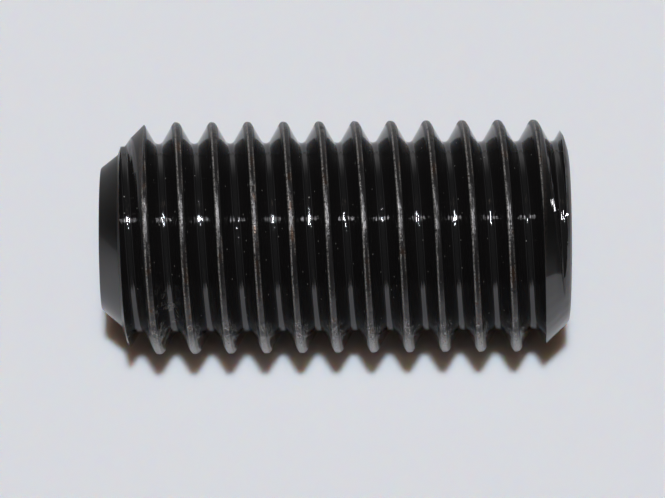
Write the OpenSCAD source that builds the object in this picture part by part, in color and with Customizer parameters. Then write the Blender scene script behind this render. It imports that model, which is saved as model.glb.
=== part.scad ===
// Grub screw: a headless set screw, threaded over its whole length, with a
// cup point at the bottom and a hexagon socket at the top. It stands on the
// rim of its cup, axis along +Z. One solid, millimetres.

/* [Body] */
// Length from the rim of the cup to the socket end
length = 19.6; // [16:0.1:28]
// Diameter over the thread crests
crest_d = 9.75; // [9:0.05:12]
// Slope of the chamfers at both ends, from the axis
chamfer_angle = 45; // [35:1:55]

/* [Thread] */
// Distance from one crest to the next
pitch = 1.5; // [1.25:0.05:2]
// Angle between the two flanks of the groove
flank_angle = 60; // [55:1:65]
// Width of the flat on each crest
crest_w = 0.19; // [0.15:0.01:0.3]
// Radius of the rounded root
root_r = 0.215; // [0.05:0.005:0.24]
// Direction in which the groove passes the bottom of the screw
start_angle = 321; // [0:1:359]
// Straight steps in each turn of the groove
turn_steps = 48; // [24:4:56]

/* [Cup point] */
// Outer diameter of the cup's rim
cup_rim_d = 5.95; // [4:0.05:7]
// Width of the flat land on the rim
cup_land = 0.12; // [0.05:0.01:0.4]
// Full angle of the hollow cone in the cup
cup_angle = 120; // [100:1:130]

/* [Hexagon socket] */
// Diameter of the flat end round the socket
socket_end_d = 7.2; // [6.6:0.05:8]
// Width of the socket across its flats
socket_af = 5; // [3:0.1:5.2]
// Depth of the socket's straight walls
socket_depth = 6.2; // [3:0.1:8]
// Full angle of the cone at the bottom of the socket
socket_floor_angle = 120; // [100:1:140]
// Clearance of the mouth chamfer round the socket's corners
mouth_clearance = 0.06; // [0:0.01:0.2]

/* [Hidden] */
$fn = 96;

crest_r = crest_d / 2;
cup_rim_r = cup_rim_d / 2;
socket_end_r = socket_end_d / 2;
point_chamfer_h = (crest_r - cup_rim_r) / tan(chamfer_angle);
socket_chamfer_h = (crest_r - socket_end_r) / tan(chamfer_angle);

// The socket's corner circle, and the wider circle of its chamfered mouth
socket_corner_d = socket_af / cos(30);
socket_mouth_d = socket_corner_d + 2 * mouth_clearance;

// The flanks meet in a sharp V at this depth below the crests
half_flank = flank_angle / 2;
v_depth = (pitch - crest_w) / 2 / tan(half_flank);
root_centre_r = crest_r - v_depth + root_r / sin(half_flank);

// The cutter stands past the crests by half of what brings its turns together
cutter_over = crest_w / 4 / tan(half_flank);
cutter_half_w = (pitch - crest_w) / 2 + cutter_over * tan(half_flank);
root_steps = 3;

// Extra reach of every cut past the surface that it opens
past = 0.5;

// Section of the cutter as [distance from the axis, height], from its lower
// outer corner round the root to its upper outer corner
root_arc = [
    for (i = [0 : root_steps])
        let (a = (i / root_steps - 0.5) * (180 - flank_angle))
            [root_centre_r - root_r * cos(a), root_r * sin(a)]
];
cutter_section = concat(
    [[crest_r + cutter_over, -cutter_half_w]],
    root_arc,
    [[crest_r + cutter_over, cutter_half_w]]
);

// One section of the cutter, turned to an angle and raised along the helix
function section_at(angle) = [
    for (p = cutter_section)
        [
            p[0] * cos(angle + start_angle),
            p[0] * sin(angle + start_angle),
            p[1] + pitch * angle / 360
        ]
];

// Right-hand helical cutter that leaves the thread groove
module thread_cutter() {
    sides = len(cutter_section);
    step = 360 / turn_steps;
    first = -turn_steps;
    last = ceil((length / pitch + 1) * turn_steps);
    rows = last - first;
    points = [for (row = [first : last]) each section_at(row * step)];
    walls = [
        for (row = [0 : rows - 1])
            for (side = [0 : sides - 1])
                let (
                    next = (side + 1) % sides,
                    a = row * sides + side,
                    b = row * sides + next,
                    c = a + sides,
                    d = b + sides
                )
                    each [[a, d, b], [a, c, d]]
    ];
    bottom_end = [for (side = [0 : sides - 1]) side];
    top_end = [for (side = [sides - 1 : -1 : 0]) rows * sides + side];
    polyhedron(points = points, faces = concat(walls, [bottom_end, top_end]));
}

// Turned blank with a chamfer at each end
module blank() {
    rotate_extrude()
        polygon([
            [0, 0],
            [cup_rim_r, 0],
            [crest_r, point_chamfer_h],
            [crest_r, length - socket_chamfer_h],
            [socket_end_r, length],
            [0, length]
        ]);
}

// Hollow cone that leaves the cup's sharp rim
module cup_hollow() {
    cup_r = cup_rim_r - cup_land;
    cup_depth = cup_r / tan(cup_angle / 2);
    rotate_extrude()
        polygon([
            [0, -past],
            [cup_r, -past],
            [cup_r, 0],
            [0, cup_depth]
        ]);
}

// Hexagon socket with a conical floor and a chamfered mouth
module socket_hollow() {
    floor_z = length - socket_depth;
    floor_cone_h = socket_af / 2 / tan(socket_floor_angle / 2);
    mouth_r = socket_mouth_d / 2;
    mouth_h = mouth_r - socket_af / 2;
    translate([0, 0, floor_z])
        cylinder(d = socket_corner_d, h = socket_depth + past, $fn = 6);
    translate([0, 0, floor_z - floor_cone_h])
        cylinder(r1 = 0, r2 = socket_af / 2, h = floor_cone_h);
    translate([0, 0, length - mouth_h])
        cylinder(r1 = socket_af / 2, r2 = mouth_r, h = mouth_h);
}

// The whole screw
module set_screw() {
    color("#1c1c1e")
        difference() {
            blank();
            thread_cutter();
            cup_hollow();
            socket_hollow();
        }
}

set_screw();
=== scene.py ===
# A cup-point set screw with a hexagon socket, of blackened and oiled steel. It
# stands on the rim of its cup, axis along +Z. The camera lies on its side, so
# that the picture shows the axis level, with the point at the left.

import math

import bpy
import numpy as np
from mathutils import Matrix, Vector, noise


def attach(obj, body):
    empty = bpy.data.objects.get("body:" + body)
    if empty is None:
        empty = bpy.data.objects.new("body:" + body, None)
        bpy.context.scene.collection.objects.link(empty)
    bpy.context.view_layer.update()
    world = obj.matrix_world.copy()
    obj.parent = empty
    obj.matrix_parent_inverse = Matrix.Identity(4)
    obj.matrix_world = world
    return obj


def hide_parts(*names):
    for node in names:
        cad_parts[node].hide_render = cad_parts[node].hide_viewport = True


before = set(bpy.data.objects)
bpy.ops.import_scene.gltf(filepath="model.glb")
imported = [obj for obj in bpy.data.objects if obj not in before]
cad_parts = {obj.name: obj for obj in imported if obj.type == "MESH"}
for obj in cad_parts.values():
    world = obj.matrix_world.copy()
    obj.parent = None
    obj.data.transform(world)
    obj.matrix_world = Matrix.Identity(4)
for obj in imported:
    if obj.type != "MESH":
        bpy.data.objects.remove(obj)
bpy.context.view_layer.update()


# The camera looks straight along +Y at the middle of the screw, from 220 mm.
# The picture's right is the screw's +Z, and its axis rises 0.44 degrees there.
axis_rise = math.radians(0.44)
picture_right = Vector((math.sin(axis_rise), 0, math.cos(axis_rise)))
picture_up = Vector((-math.cos(axis_rise), 0, math.sin(axis_rise)))
picture_back = Vector((0, -1, 0))
camera_place = Vector((0.000508, -0.2196, 0.009693))

camera_data = bpy.data.cameras.new("camera")
camera_data.lens = 282.9
camera_data.sensor_width = 36
camera_data.clip_start = 0.01
camera_data.clip_end = 10
camera = bpy.data.objects.new("camera", camera_data)
camera_turn = Matrix((picture_right, picture_up, picture_back)).transposed()
camera.matrix_world = Matrix.Translation(camera_place) @ camera_turn.to_4x4()
bpy.context.scene.collection.objects.link(camera)
bpy.context.scene.camera = camera


# The thread: rolled into the whole length of an alloy steel bar, 1.5 mm to a
# turn, with 60 degree flanks and a round root. Rolling leaves two low lips and
# a shallow seam on the crest. The screw's sizes are in millimetres.
length = 19.6
crest_r = 4.875
pitch = 1.5
first_crest_z = -0.5875
crest_half_w = 0.104
seam_depth = 0.007
lip_r = 0.12
root_r = 0.216
turns = 16
turn_steps = 224

flank_slope = math.tan(math.radians(60))
lip_middle = crest_half_w - lip_r * math.tan(math.radians(30))
sharp_depth = flank_slope * (pitch / 2 - crest_half_w)
root_centre_depth = sharp_depth - 2 * root_r
root_bottom_r = crest_r - root_centre_depth - root_r

# Half of the section, from the seam over one lip and down the flank to the
# root, as distance along the axis and depth below the crest.
half_section = [(0.0, seam_depth), (lip_middle, 0.0)]
for arc_angle in (20, 40, 60):
    turned = math.radians(arc_angle)
    along = lip_middle + lip_r * math.sin(turned)
    half_section.append((along, lip_r * (1 - math.cos(turned))))
for along in (0.17, 0.28, 0.40):
    half_section.append((along, flank_slope * (along - crest_half_w)))
for arc_angle in (60, 45, 30, 15):
    turned = math.radians(arc_angle)
    along = pitch / 2 - root_r * math.sin(turned)
    half_section.append((along, root_centre_depth + root_r * math.cos(turned)))

upper_half = [(crest_r - depth, along) for along, depth in half_section]
lower_half = [(r, -along) for r, along in reversed(upper_half[1:])]
whole_section = [(root_bottom_r, -pitch / 2)] + lower_half + upper_half
whole_section.append((root_bottom_r, pitch / 2))


def edit(piece):
    """This piece alone in edit mode, with all of it selected."""
    bpy.ops.object.select_all(action="DESELECT")
    piece.select_set(True)
    bpy.context.view_layer.objects.active = piece
    bpy.ops.object.mode_set(mode="EDIT")
    bpy.ops.mesh.select_all(action="SELECT")


def leave():
    bpy.ops.object.mode_set(mode="OBJECT")


def apply_all(piece):
    bpy.ops.object.select_all(action="DESELECT")
    piece.select_set(True)
    bpy.context.view_layer.objects.active = piece
    for modifier in list(piece.modifiers):
        bpy.ops.object.modifier_apply(modifier=modifier.name)


def line_of(name, points):
    """A chain of edges in the XZ plane, drawn point after point."""
    bpy.ops.object.select_all(action="DESELECT")
    bpy.ops.mesh.primitive_plane_add(size=1, location=(0, 0, 0))
    piece = bpy.context.object
    piece.name = name
    edit(piece)
    bpy.ops.mesh.merge(type="CENTER")
    bpy.ops.transform.translate(value=(points[0][0], 0, points[0][1]))
    for before, after in zip(points, points[1:]):
        move = (after[0] - before[0], 0, after[1] - before[1])
        bpy.ops.mesh.extrude_region_move(TRANSFORM_OT_translate={"value": move})
    leave()
    return piece


below_z = first_crest_z - pitch
screw = line_of("blackened_screw", [(r, z + below_z) for r, z in whole_section])
winding = screw.modifiers.new("winding", "SCREW")
winding.axis = "Z"
winding.angle = math.radians(360)
winding.screw_offset = pitch
winding.iterations = turns
winding.steps = turn_steps
winding.render_steps = turn_steps
winding.use_merge_vertices = False
apply_all(screw)
edit(screw)
bpy.ops.mesh.remove_doubles(threshold=0.0008)
bpy.ops.mesh.normals_make_consistent(inside=False)
leave()


# The crests aren't even: one side of them stands lower, they waver, and nicks
# cut into them. Rough stretches are given as crest number, direction, half
# length in degrees and strength. No point passes the crest radius.
rough_stretches = (
    (1, 262, 5, 1.0),
    (2, 264, 6, 0.8),
    (2, 267, 2, 2.2),
    (3, 262, 8, 0.8),
    (4, 258, 10, 1.2),
    (5, 262, 8, 2.6),
    (5, 272, 4, 2.6),
    (6, 256, 4, 2.0),
    (6, 263, 4, 1.6),
    (7, 259, 8, 1.2),
    (8, 258, 9, 1.4),
    (8, 283, 3, 2.0),
    (9, 262, 9, 1.0),
    (10, 256, 5, 2.0),
    (11, 262, 9, 1.2),
)
crest_zone_depth = 0.12
crest_zone_blend = 0.10
crest_sink = 0.008
low_side_sink = 0.010
low_side_blend = 0.05
nick_limit = 0.38


def points_of(piece):
    """The points of a mesh, one row each, for moving them."""
    found = np.empty(len(piece.data.vertices) * 3)
    piece.data.vertices.foreach_get("co", found)
    return found.reshape(-1, 3)


def put_points(piece, rows):
    piece.data.vertices.foreach_set("co", rows.reshape(-1))
    piece.data.update()


def around(rows):
    """Each point's distance from the axis, and its direction in degrees."""
    distance = np.hypot(rows[:, 0], rows[:, 1])
    return distance, np.degrees(np.arctan2(rows[:, 1], rows[:, 0])) % 360


def move_out(rows, chosen, new_r):
    """Moves the chosen points along their own radius."""
    change = new_r / np.hypot(rows[chosen, 0], rows[chosen, 1])
    rows[chosen, 0] *= change
    rows[chosen, 1] *= change


rows = points_of(screw)
distance, degrees = around(rows)
turns_here = (rows[:, 2] - first_crest_z) / pitch - degrees / 360
crest_number = np.round(turns_here)
along_crest = (turns_here - crest_number) * pitch
near_crest = np.clip((distance - (crest_r - crest_zone_depth)) / crest_zone_blend, 0, 1)
roughened = np.zeros(len(rows))
for number, direction, half_length, strength in rough_stretches:
    closeness = np.exp(-(((degrees - direction) / half_length) ** 2))
    roughened += strength * closeness * (crest_number == number)

for index in np.nonzero(near_crest > 0)[0]:
    x, y, z = rows[index]
    slow = noise.noise(Vector((x, y, z * 1.3)) * 0.9)
    middle = noise.noise(Vector((x + 40, y, z)) * 3.4)
    quick = noise.noise(Vector((x, y + 70, z)) * 8.0)
    nick = max(0.0, noise.noise(Vector((x, y, z + 55)) * 2.1) - nick_limit)
    side = low_side_sink * min(1.0, max(0.0, along_crest[index] / low_side_blend))
    ragged = (0.007 + 0.008 * roughened[index]) * quick
    sink = crest_sink + 0.008 * slow + 0.008 * middle + ragged + 0.12 * nick + side
    distance[index] -= near_crest[index] * max(0.0, sink)

move_out(rows, slice(None), distance)
put_points(screw, rows)

spare = 0.4
edit(screw)
for cut_z, from_below in ((-spare, True), (length + spare, False)):
    bpy.ops.mesh.select_all(action="SELECT")
    bpy.ops.mesh.bisect(
        plane_co=(0, 0, cut_z),
        plane_no=(0, 0, 1),
        use_fill=True,
        clear_inner=from_below,
        clear_outer=not from_below,
    )
bpy.ops.mesh.select_all(action="SELECT")
bpy.ops.mesh.normals_make_consistent(inside=False)
leave()


# The ends: turned with a 45 degree chamfer each, a flat face at the socket and
# a 120 degree hollow in the point. Rolling pushed metal out over the chamfers,
# into a lip and a thin blade at the point, and a proud ridge at the face.
rim_r = 2.975
cup_r = 2.855
cone_slope = math.tan(math.radians(60))
over_crests_r = crest_r + 0.08
crests_from_z = 2.0
crests_to_z = 18.24
blank_sides = 288

# Each end's outline in some directions, in degrees, as height and radius. It
# changes evenly from one to the next, and wavers a little.
point_outlines = {
    0: ((0.88, 3.77), (0.99, 4.10), (1.10, 4.41), (1.20, 4.58), (1.64, 4.62)),
    45: ((0.80, 3.69), (0.90, 3.92), (1.00, 4.10), (1.15, 4.20), (1.40, 4.38)),
    90: ((0.72, 3.61), (0.78, 3.72), (0.86, 3.83), (1.00, 3.98), (1.30, 4.28)),
    180: ((0.715, 3.52), (0.79, 3.71), (0.85, 3.845), (1.035, 3.86), (1.20, 4.17)),
    217: ((0.75, 3.62), (0.81, 3.88), (0.86, 4.12), (1.04, 4.14), (1.21, 4.19)),
    270: ((0.785, 3.68), (0.85, 4.02), (0.925, 4.40), (1.15, 4.42), (1.46, 4.44)),
    315: ((0.86, 3.75), (0.94, 4.12), (1.02, 4.53), (1.20, 4.57), (1.61, 4.59)),
    360: ((0.88, 3.77), (0.99, 4.10), (1.10, 4.41), (1.20, 4.58), (1.64, 4.62)),
}
socket_outlines = {
    0: ((18.90, 4.31), (19.10, 4.11), (19.25, 3.96), (19.44, 3.77), (19.57, 3.62)),
    90: ((18.90, 4.31), (19.10, 4.20), (19.25, 4.08), (19.42, 3.86), (19.57, 3.60)),
    180: ((18.92, 4.28), (19.28, 4.43), (19.41, 4.21), (19.49, 3.95), (19.58, 3.60)),
    270: ((18.90, 4.31), (19.10, 4.13), (19.32, 4.08), (19.46, 3.92), (19.57, 3.60)),
    320: ((18.90, 4.31), (19.10, 4.11), (19.25, 3.96), (19.44, 3.77), (19.57, 3.62)),
    360: ((18.90, 4.31), (19.10, 4.11), (19.25, 3.96), (19.44, 3.77), (19.57, 3.62)),
}
face_edge_r = {0: 3.56, 90: 3.50, 180: 3.47, 270: 3.52, 320: 3.56, 360: 3.56}
as_turned = 180
same_place = 1e-4

# The blank's section in one direction: the cup, its rounded rim, the point's
# outline, a wall outside the crests, the socket end's outline and the face.
blank_section = [
    (0.0, cup_r / cone_slope),
    (cup_r - 0.03, 0.03 / cone_slope),
    (cup_r + 0.01, 0.004),
    (cup_r + 0.03, 0.0),
    (rim_r - 0.04, 0.0),
    (rim_r - 0.012, 0.010),
    (rim_r + 0.025, 0.040),
]
blank_section += [(r, z) for z, r in point_outlines[as_turned]]
blank_section += [(over_crests_r, crests_from_z), (over_crests_r, crests_to_z)]
blank_section += [(r, z) for z, r in socket_outlines[as_turned]]
blank_section += [(face_edge_r[as_turned], length), (0.0, length)]


def spun(name, section, sides):
    """A closed solid turned from a section that starts and ends on the axis."""
    piece = line_of(name, section)
    edit(piece)
    full_turn = math.radians(360)
    bpy.ops.mesh.spin(steps=sides, angle=full_turn, center=(0, 0, 0), axis=(0, 0, 1))
    bpy.ops.mesh.select_all(action="SELECT")
    bpy.ops.mesh.remove_doubles(threshold=0.0005)
    bpy.ops.mesh.normals_make_consistent(inside=False)
    leave()
    return piece


def cut_by(piece, tool, operation):
    cut = piece.modifiers.new(operation.lower(), "BOOLEAN")
    cut.operation = operation
    cut.object = tool
    cut.solver = "EXACT"
    apply_all(piece)
    bpy.data.objects.remove(tool)


blank = spun("blank", blank_section, blank_sides)
rows = points_of(blank)
distance, degrees = around(rows)
for outlines in (point_outlines, socket_outlines):
    known = sorted(outlines)
    for place, (turned_z, turned_r) in enumerate(outlines[as_turned]):
        here = np.abs(rows[:, 2] - turned_z) < same_place
        here = here & (np.abs(distance - turned_r) < same_place)
        new_z = np.interp(degrees[here], known, [outlines[a][place][0] for a in known])
        new_r = np.interp(degrees[here], known, [outlines[a][place][1] for a in known])
        waver = np.array([noise.noise(Vector(row) * 2.3) for row in rows[here]])
        move_out(rows, here, new_r + 0.012 * waver)
        rows[here, 2] = new_z + 0.010 * waver
known = sorted(face_edge_r)
face_edge = (np.abs(rows[:, 2] - length) < same_place) & (distance > 1)
move_out(rows, face_edge, np.interp(degrees[face_edge], known, [face_edge_r[a] for a in known]))
put_points(blank, rows)
cut_by(screw, blank, "INTERSECT")


# Two burrs, left where the last turns of the thread tore: small flat flakes of
# the same steel, rooted in it. Each is given as direction, radius, height,
# thickness, length, width and slant.
burrs = (
    (254.0, 4.39, 18.80, 0.20, 0.54, 0.16, 12.0),
    (258.4, 4.06, 19.38, 0.26, 0.12, 0.12, 0.0),
)
flakes_face = 258.75
flake_edge = 0.02
for direction, r, z, thickness, flake_length, width, slant in burrs:
    bpy.ops.object.select_all(action="DESELECT")
    bpy.ops.mesh.primitive_cube_add(size=1, location=(0, 0, 0))
    flake = bpy.context.object
    flake.scale = (thickness, flake_length, width)
    bpy.ops.object.transform_apply(location=True, rotation=True, scale=True)
    edit(flake)
    bpy.ops.mesh.bevel(offset=flake_edge, segments=1, affect="EDGES")
    leave()
    turned = math.radians(direction)
    seat = Vector((math.cos(turned), math.sin(turned), 0)) * r
    seat.z = z
    facing = Matrix.Rotation(math.radians(flakes_face), 3, "Z")
    slanted = Matrix.Rotation(math.radians(slant), 3, "X")
    rows = points_of(flake)
    for index, row in enumerate(rows):
        rows[index] = facing @ slanted @ Vector(row) + seat
    put_points(flake, rows)
    cut_by(screw, flake, "UNION")


# The socket: a 5 mm hexagon pressed into a drilled hole, 6.2 mm deep, with a
# corner towards +X, small radii in it, a cone left by the drill at its bottom
# and a chamfered mouth. It is hidden in the photograph.
socket_af = 5.0
socket_depth = 6.2
socket_round = 0.09
socket_corner_r = socket_af / 2 / math.cos(math.radians(30))
socket_floor_z = length - socket_depth
drill_r = socket_af / 2 - 0.02
drill_overlap = 0.6
mouth_r = socket_corner_r + 0.06
mouth_depth = mouth_r - socket_af / 2
past_face = 0.3
punch_length = socket_depth + 1

bpy.ops.object.select_all(action="DESELECT")
bpy.ops.mesh.primitive_cylinder_add(
    vertices=6,
    radius=socket_corner_r,
    depth=punch_length,
    location=(0, 0, socket_floor_z + punch_length / 2),
    rotation=(0, 0, math.radians(30)),
)
punch = bpy.context.object
bpy.ops.object.transform_apply(location=True, rotation=True, scale=True)
edit(punch)
bpy.ops.mesh.select_all(action="DESELECT")
leave()
for edge in punch.data.edges:
    ends = [punch.data.vertices[v].co for v in edge.vertices]
    edge.select = abs(ends[0].z - ends[1].z) > 1
bpy.ops.object.mode_set(mode="EDIT")
bpy.ops.mesh.bevel(offset=socket_round, segments=3, affect="EDGES")
leave()
cut_by(screw, punch, "DIFFERENCE")

drill_section = [
    (0.0, socket_floor_z - drill_r / cone_slope),
    (drill_r, socket_floor_z),
    (drill_r, socket_floor_z + drill_overlap),
    (0.0, socket_floor_z + drill_overlap),
]
cut_by(screw, spun("drill", drill_section, 96), "DIFFERENCE")
mouth_section = [
    (0.0, length - mouth_depth),
    (socket_af / 2, length - mouth_depth),
    (mouth_r, length),
    (mouth_r + past_face, length + past_face),
    (0.0, length + past_face),
]
cut_by(screw, spun("mouth", mouth_section, 120), "DIFFERENCE")

edit(screw)
bpy.ops.mesh.remove_doubles(threshold=0.0004)
bpy.ops.transform.resize(value=(0.001, 0.001, 0.001), center_override=(0, 0, 0))
leave()
bpy.ops.object.select_all(action="DESELECT")
screw.select_set(True)
bpy.context.view_layer.objects.active = screw
bpy.ops.object.shade_smooth_by_angle(angle=math.radians(26))


# The screw's finish: a thin black oxide that oil makes glossy. Along the crests
# it is rubbed to grey and brown, with bright specks on the lips. Dust lies on
# the thread, and crumbs of lint on its lower side. Painted sheen lightens the
# lower side of the turned ends, the worn crests and the crest tips; painted
# shade darkens the upper side of the ends and dims the specks on the lower side.
class Field:
    """A shader socket that can be used in a Python expression."""

    def __init__(self, socket):
        self.socket = socket

    def maths(self, operation, *others):
        values = dict(enumerate((self, *others)))
        return add("ShaderNodeMath", {"operation": operation}, values)

    def __add__(self, other):
        return self.maths("ADD", other)

    def __radd__(self, other):
        return self.maths("ADD", other)

    def __sub__(self, other):
        return self.maths("SUBTRACT", other)

    def __rsub__(self, other):
        return constant(other).maths("SUBTRACT", self)

    def __mul__(self, other):
        return self.maths("MULTIPLY", other)

    def __rmul__(self, other):
        return self.maths("MULTIPLY", other)

    def __truediv__(self, other):
        return self.maths("DIVIDE", other)

    def __rtruediv__(self, other):
        return constant(other).maths("DIVIDE", self)

    def __abs__(self):
        return self.maths("ABSOLUTE")

    def at_most(self, other):
        return self.maths("MINIMUM", other)

    def at_least(self, other):
        return self.maths("MAXIMUM", other)

    def between(self, low, high):
        """0 below low, 1 above high, and smooth from one to the other."""
        smooth = {"interpolation_type": "SMOOTHSTEP"}
        values = {"Value": self, "From Min": low, "From Max": high}
        return add("ShaderNodeMapRange", smooth, values, "Result")


def plug(socket, value):
    if isinstance(value, Field):
        shader.node_tree.links.new(value.socket, socket)
    else:
        socket.default_value = value


def add(kind, settings, values, output=0):
    """One node of the shader being made, by its type, settings and sockets."""
    node = shader.node_tree.nodes.new(kind)
    for name, value in settings.items():
        setattr(node, name, value)
    for name, value in values.items():
        plug(node.inputs[name], value)
    return Field(node.outputs[output]) if node.outputs else None


def constant(value):
    made = add("ShaderNodeValue", {}, {})
    made.socket.default_value = value
    return made


def mixed(factor, first, second):
    """A colour between two colours."""
    return add("ShaderNodeMix", {"data_type": "RGBA"}, {0: factor, 6: first, 7: second}, 2)


def noise_of(place, scale, detail=2.0, roughness=0.5):
    values = {"Vector": place, "Scale": scale, "Detail": detail, "Roughness": roughness}
    return add("ShaderNodeTexNoise", {}, values)


def without_nodes(owner):
    """A new material or world, ready for the nodes that follow."""
    owner.use_nodes = True
    owner.node_tree.nodes.clear()
    return owner


shader = without_nodes(bpy.data.materials.new("black_oxide_steel"))
object_place = add("ShaderNodeTexCoord", {}, {}, "Object")
in_mm = add("ShaderNodeVectorMath", {"operation": "SCALE"}, {"Vector": object_place, "Scale": 1000})
split = add("ShaderNodeSeparateXYZ", {}, {"Vector": in_mm})
x_mm, y_mm, z_mm = (Field(part) for part in split.socket.node.outputs)

grains = noise_of(in_mm, 20.0, 2.0)
fine = noise_of(in_mm, 9.0, 3.0)
middling = noise_of(in_mm, 2.3, 3.0)
broad = noise_of(in_mm, 0.55, 2.0)

# Where a point lies: how far from the nearest crest and root along the axis,
# and how far in from the thread's own surface, which is 0 on the thread.
r_mm = (x_mm * x_mm + y_mm * y_mm).maths("SQRT")
turn_part = y_mm.maths("ARCTAN2", x_mm) / (2 * math.pi)
from_crest = (((z_mm - first_crest_z) / pitch - turn_part + 20.5).maths("FRACT") - 0.5) * pitch
from_root = pitch / 2 - abs(from_crest)
thread_r = crest_r - (abs(from_crest) - crest_half_w).at_least(0) * flank_slope
thread_r = thread_r.at_least(root_bottom_r)
on_thread = 1 - (thread_r - r_mm).between(0.04, 0.09)
turned_off = 1 - on_thread
proud = (r_mm - thread_r).between(0.008, 0.02)
on_crest = (1 - abs(from_crest).between(0.12, 0.16)) * on_thread
near_the_crest = (1 - abs(from_crest).between(0.18, 0.27)) * on_thread
in_root = (1 - from_root.between(0.11, 0.18)) * on_thread
# Towards the lower side: the turned ends' oil coat, and their painted sheen.
oil_and_painted_sheen_side = x_mm.between(-1.2, 2.0)
# The lower side, where painted sheen lightens worn crests and painted shade dims bright specks.
lower_side_painted_light = x_mm.between(1.8, 3.4)

# Wear along the crests and their two lips.
lower_lip = from_crest.between(-0.125, -0.100) * (1 - from_crest.between(-0.065, -0.035))
upper_lip = from_crest.between(0.05, 0.08) * (1 - from_crest.between(0.10, 0.125))
worn = on_crest * (0.6 + 0.4 * middling.between(0.35, 0.65))
bright = r_mm.between(4.72, 4.80) * fine.between(0.30, 0.46) * on_thread
# Painted shade: the bright specks are dimmed on the lower side.
bright = bright * (0.15 + 0.85 * grains.between(0.46, 0.55)) * (1 - 0.75 * lower_side_painted_light)
bright = bright * (lower_lip + upper_lip * broad.between(0.48, 0.60) * 0.6)
browned = worn * middling.between(0.50, 0.62) * broad.between(0.50, 0.58)

# Edges that stand proud on the turned ends.
point_cone_r = rim_r + z_mm * 0.904
point_lip = (r_mm - point_cone_r).between(0.02, 0.06) * (thread_r - r_mm).between(0.02, 0.05)
point_lip = point_lip * (1 - z_mm.between(1.10, 1.25))
last_ridge = z_mm.between(19.49, 19.54) * r_mm.between(3.40, 3.46)
cut_edge = turned_off * r_mm.between(4.62, 4.74) * fine.between(0.35, 0.50)
edges = point_lip.at_least(last_ridge).at_least(cut_edge * 0.8)

# Dust, fallen lint between two turns, pale crumbs on the lower side, and painted sheen on the crest tips
# there.
speck_values = {"Vector": in_mm, "Scale": 2.1, "Randomness": 1.0}
specks = add("ShaderNodeTexVoronoi", {"feature": "F1"}, speck_values, "Distance")
dust = (1 - specks.between(0.05, 0.085)) * on_thread
fallen = z_mm.between(1.9, 2.2) * (1 - z_mm.between(3.1, 3.5)) * x_mm.between(1.6, 3.2)
fallen = fallen * (1 - y_mm.between(-1.6, -0.6))
clumps = middling.between(0.50, 0.58) * fine.between(0.47, 0.55)
dust = dust.at_least(fallen * clumps * 0.8) * (1 - worn)
# Painted sheen: the crest tips are lighter on the lower side.
painted_low_sheen_and_crumbs = near_the_crest * x_mm.between(3.9, 4.7) * (0.35 + 0.65 * grains.between(0.40, 0.56))
crumbs = grains.between(0.54, 0.60) * middling.between(0.42, 0.52) * x_mm.between(3.2, 3.9)
crumbs = crumbs * (1 - abs(from_crest).between(0.26, 0.52)) * on_thread * 0.9
painted_low_sheen_and_crumbs = painted_low_sheen_and_crumbs.at_least(crumbs)

oxide = (0.018, 0.0165, 0.0165, 1)
rolled = (0.080, 0.078, 0.079, 1)
hazy = (0.024, 0.023, 0.023, 1)
rubbed = (0.050, 0.047, 0.047, 1)
rubbed_lower_painted_sheen = (0.085, 0.081, 0.080, 1)
brown = (0.070, 0.040, 0.026, 1)
turned_upper_painted_shade = (0.034, 0.033, 0.032, 1)
turned_lower_painted_sheen = (0.062, 0.060, 0.060, 1)
grey_brown = (0.085, 0.070, 0.064, 1)
ridge_grey = (0.125, 0.108, 0.102, 1)
steel = (0.40, 0.38, 0.355, 1)
painted_sheen_and_crumb_grey = (0.50, 0.49, 0.48, 1)
lint = (0.17, 0.165, 0.15, 1)
tone = mixed(in_root, oxide, rolled)
# The turned ends: painted shade on the upper side, painted sheen on the lower.
tone = mixed(turned_off, tone, mixed(oil_and_painted_sheen_side, turned_upper_painted_shade, turned_lower_painted_sheen))
tone = mixed(near_the_crest, tone, hazy)
# Worn crests are lighter on the lower side: real wear with painted sheen.
tone = mixed(worn, tone, mixed(lower_side_painted_light, rubbed, rubbed_lower_painted_sheen))
tone = mixed(browned, tone, brown)
tone = mixed(edges, tone, grey_brown)
tone = mixed(last_ridge, tone, ridge_grey)
tone = mixed(bright, tone, steel)
# Painted sheen on the lower crest tips, and lint crumbs.
tone = mixed(painted_low_sheen_and_crumbs, tone, painted_sheen_and_crumb_grey)
tone = mixed(dust, tone, lint)

dullness = 0.045 + 0.29 * near_the_crest - 0.10 * worn + 0.30 * bright
dullness = dullness + 0.25 * turned_off + 0.10 * painted_low_sheen_and_crumbs
dullness = (dullness + 0.6 * dust).at_most(0.8)
oil_on_ends = 0.55 * turned_off * oil_and_painted_sheen_side
metal = (0.92 * in_root.at_least(turned_off)).at_least(0.50 + 0.22 * near_the_crest)
metal = metal * (1 - dust) * (1 - 0.8 * painted_low_sheen_and_crumbs)

# Rolling left faint lines along the thread, and wear a fine grain on the crests.
line_place = {"X": from_crest * 17, "Y": x_mm * 0.13, "Z": y_mm * 0.13 + z_mm * 0.37}
rolling = noise_of(add("ShaderNodeCombineXYZ", {}, line_place), 1.0, 3.0, 0.6)
relief = rolling * on_thread * (1 - proud) * 1.3
relief = relief + fine * on_crest * (1 - proud) * 2.0
relief = relief + middling * 0.04 + grains * on_crest * 0.8
bumped = add("ShaderNodeBump", {}, {"Height": relief, "Strength": 0.8, "Distance": 0.000012})
finish_values = {
    "Base Color": tone,
    "Metallic": metal,
    "Roughness": dullness,
    "Normal": bumped,
    "Specular IOR Level": 0.65,
    "Specular Tint": (0.65, 0.65, 0.65, 1),
    "Coat Weight": oil_on_ends,
    "Coat Roughness": 0.03,
    "Coat IOR": 1.5,
}
finish = add("ShaderNodeBsdfPrincipled", {}, finish_values)
add("ShaderNodeOutputMaterial", {}, {"Surface": finish})
screw.data.materials.clear()
screw.data.materials.append(shader)

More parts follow.
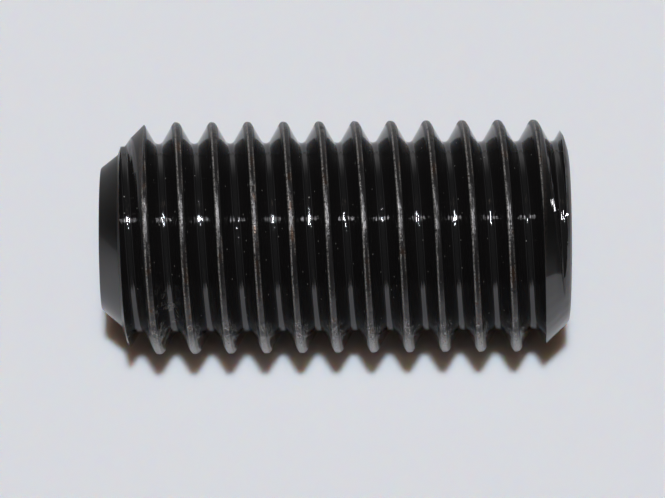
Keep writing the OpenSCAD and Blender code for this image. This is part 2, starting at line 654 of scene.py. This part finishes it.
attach(screw, "root")
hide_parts("set_screw")


# The soft pale sheet that the screw lies on in the photograph, tilted as seen
# there, with the crests sunk into it. It is clear from its back, and left open
# where the screw covers it, so that the back gets light as well.
sheet_lean = math.radians(58)
sheet_normal = Vector((-math.cos(sheet_lean), -math.sin(sheet_lean), 0))
sheet_down = Vector((math.sin(sheet_lean), -math.cos(sheet_lean), 0))
sunk = 0.8
sheet_left = -112
sheet_right = 42
sheet_top = -75
sheet_bottom = 60
open_down = (-6.8, 1.9)
open_along = (2.2, 18.0)
middle_down = (sheet_top + sheet_bottom) / 2
sheet_middle = sheet_down * middle_down - sheet_normal * (crest_r - sunk)
sheet_middle.z = (sheet_left + sheet_right) / 2

bpy.ops.object.select_all(action="DESELECT")
bpy.ops.mesh.primitive_plane_add(size=1, location=sheet_middle / 1000)
sheet = bpy.context.object
sheet.name = "pale_sheet"
sheet_turn = Matrix((sheet_down, sheet_normal.cross(sheet_down), sheet_normal)).transposed()
sheet.rotation_mode = "QUATERNION"
sheet.rotation_quaternion = sheet_turn.to_quaternion()
sheet.scale = ((sheet_bottom - sheet_top) / 1000, (sheet_right - sheet_left) / 1000, 1)
bpy.ops.object.transform_apply(location=False, rotation=False, scale=True)
edit(sheet)
for cut_at in open_down:
    bpy.ops.mesh.select_all(action="SELECT")
    cut_place = sheet.matrix_basis @ Vector(((cut_at - middle_down) / 1000, 0, 0))
    bpy.ops.mesh.bisect(plane_co=cut_place, plane_no=sheet_down)
for cut_at in open_along:
    bpy.ops.mesh.select_all(action="SELECT")
    bpy.ops.mesh.bisect(plane_co=(0, 0, cut_at / 1000), plane_no=(0, 0, 1))
leave()
for face in sheet.data.polygons:
    down = face.center.x * 1000 + middle_down
    along = (sheet.matrix_basis @ face.center).z * 1000
    under_screw = open_down[0] < down < open_down[1] and open_along[0] < along < open_along[1]
    face.select = under_screw
bpy.ops.object.mode_set(mode="EDIT")
bpy.ops.mesh.delete(type="FACE")
leave()

shader = without_nodes(bpy.data.materials.new("pale_sheet"))
sheet_values = {
    "Base Color": (0.80, 0.80, 0.82, 1),
    "Roughness": 1.0,
    "Specular IOR Level": 0.0,
    "Subsurface Weight": 1.0,
    "Subsurface Radius": (1.0, 0.7, 0.5),
    "Subsurface Scale": 0.0009,
}
from_its_back = add("ShaderNodeNewGeometry", {}, {}, "Backfacing")
pale = add("ShaderNodeBsdfPrincipled", {}, sheet_values)
clear = add("ShaderNodeBsdfTransparent", {}, {})
either = add("ShaderNodeMixShader", {}, {0: from_its_back, 1: pale, 2: clear})
add("ShaderNodeOutputMaterial", {}, {"Surface": either})
sheet.data.materials.append(shader)


# The light: a flash just above the camera, a faint warm window over it, and
# the room, which is pale past the far edge of the sheet and behind the sheet,
# dark elsewhere, and warm where only the room gives light.
def lamp(name, above, strength, size, colour):
    """A far lamp, above the camera by some degrees."""
    data = bpy.data.lights.new(name, "SUN")
    data.energy = strength
    data.angle = math.radians(size)
    data.color = colour
    made = bpy.data.objects.new(name, data)
    raised = math.radians(above)
    towards = picture_back * math.cos(raised) + picture_up * math.sin(raised)
    made.rotation_mode = "QUATERNION"
    made.rotation_quaternion = towards.to_track_quat("Z", "Y")
    made.location = towards * 0.3
    bpy.context.scene.collection.objects.link(made)


lamp("flash", above=22.5, strength=2.8, size=4.6, colour=(0.93, 0.96, 1.0))
lamp("window", above=41.8, strength=0.012, size=5.0, colour=(1.0, 0.82, 0.66))

dark_room = 0.05
backdrop_level = 0.70
warm = (1.0, 0.74, 0.55, 1)
neutral = (1.0, 1.0, 1.0, 1)

shader = without_nodes(bpy.data.worlds.new("room"))
bpy.context.scene.world = shader
looking = add("ShaderNodeTexCoord", {}, {}, "Generated")


def part_along(direction):
    """How far the ray goes along a direction, from -1 to 1."""
    return add("ShaderNodeVectorMath", {"operation": "DOT_PRODUCT"}, {0: looking, 1: direction}, "Value")


over_sheet = part_along(sheet_normal)
up_picture = part_along(picture_up)
is_below = over_sheet.maths("LESS_THAN", 0.0)
far_glow = up_picture.between(0.1, 0.75) * (1 - over_sheet.between(0.02, 0.72)) * 0.62
from_behind = (0 - over_sheet).between(0.3, 0.8)
past_far_edge = 0.5 * up_picture.between(0.5, 0.9)
above_sheet = dark_room + far_glow
below_sheet = dark_room + past_far_edge.at_least(0.55 * from_behind)
mirrored = above_sheet * (1 - is_below) + below_sheet * is_below
soft = dark_room + 0.45 * from_behind
seen_by_camera = add("ShaderNodeLightPath", {}, {}, "Is Camera Ray")
seen_in_gloss = add("ShaderNodeLightPath", {}, {}, "Is Glossy Ray")
room_light = seen_in_gloss * mirrored + (1 - seen_in_gloss) * soft
level = seen_by_camera * backdrop_level + (1 - seen_by_camera) * room_light
tint = mixed(seen_by_camera.at_least(seen_in_gloss), warm, neutral)
room_glow = add("ShaderNodeBackground", {}, {"Color": tint, "Strength": level})
add("ShaderNodeOutputWorld", {}, {"Surface": room_glow})

bpy.context.scene.view_settings.view_transform = "Standard"
